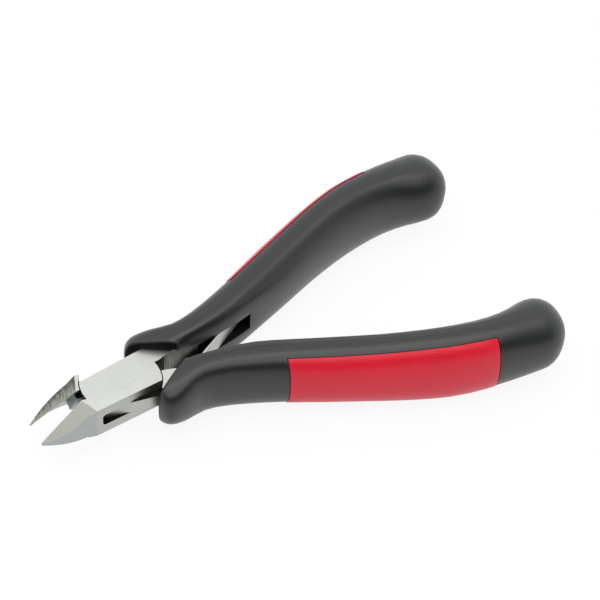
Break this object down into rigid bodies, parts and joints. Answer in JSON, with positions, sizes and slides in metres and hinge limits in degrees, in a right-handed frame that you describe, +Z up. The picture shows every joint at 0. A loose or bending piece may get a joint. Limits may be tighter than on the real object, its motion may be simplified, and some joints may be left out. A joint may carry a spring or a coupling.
{
  "type": "side cutters",
  "caption": "Small electronics side cutters with a box joint, ground diagonal jaws, leaf springs and soft two-component grips; the levers close about the joint pin.",
  "frame": {"origin": "on the pivot axis, in the lower face of the head", "axes": "+X from the jaws to the grips along the bisector of the open levers, +Y towards the grip of the box lever, +Z up along the pivot axis"},
  "size_m": [0.117, 0.0676, 0.0179],
  "materials": {
    "ground_steel": "satin, surface ground",
    "pin_steel": "ground flush",
    "spring_steel": "rolled, bright",
    "red_plastic": "moulded, satin",
    "black_rubber": "moulded, matt"
  },
  "bodies": {
    "box_side": {"box_lever": "ground_steel", "joint_pin": "pin_steel", "box_spring_foot": "spring_steel", "box_spring_rivet": "pin_steel", "box_grip_core": "red_plastic", "box_grip_skin": "black_rubber"},
    "through_side": {"through_lever": "ground_steel", "through_spring_foot": "spring_steel", "through_spring_rivet": "pin_steel", "through_grip_core": "red_plastic", "through_grip_skin": "black_rubber"},
    "box_spring": {"box_spring_blade": "spring_steel"},
    "through_spring": {"through_spring_blade": "spring_steel"}
  },
  "joints": [
    {"name": "lever_pivot", "type": "hinge", "parent": "box_side", "child": "through_side", "pos_m": [0, 0, 0], "axis": [0, 0, 1], "range_deg": [0, 15.3], "stiffness_Nm_per_rad": 0.6, "springref_deg": -8.59},
    {"name": "box_spring_turn", "type": "hinge", "parent": "box_side", "child": "box_spring", "pos_m": [0.0334, 0.00853, 0.00395], "axis": [0, 0, 1], "range_deg": [-10.75, 0]},
    {"name": "through_spring_turn", "type": "hinge", "parent": "through_side", "child": "through_spring", "pos_m": [0.0334, -0.00853, 0.00395], "axis": [0, 0, 1], "range_deg": [0, 10.75]}
  ],
  "couplings": [
    {"joint": "box_spring_turn", "follows": "lever_pivot", "ratio": -0.6952},
    {"joint": "through_spring_turn", "follows": "lever_pivot", "ratio": 0.6952}
  ]
}
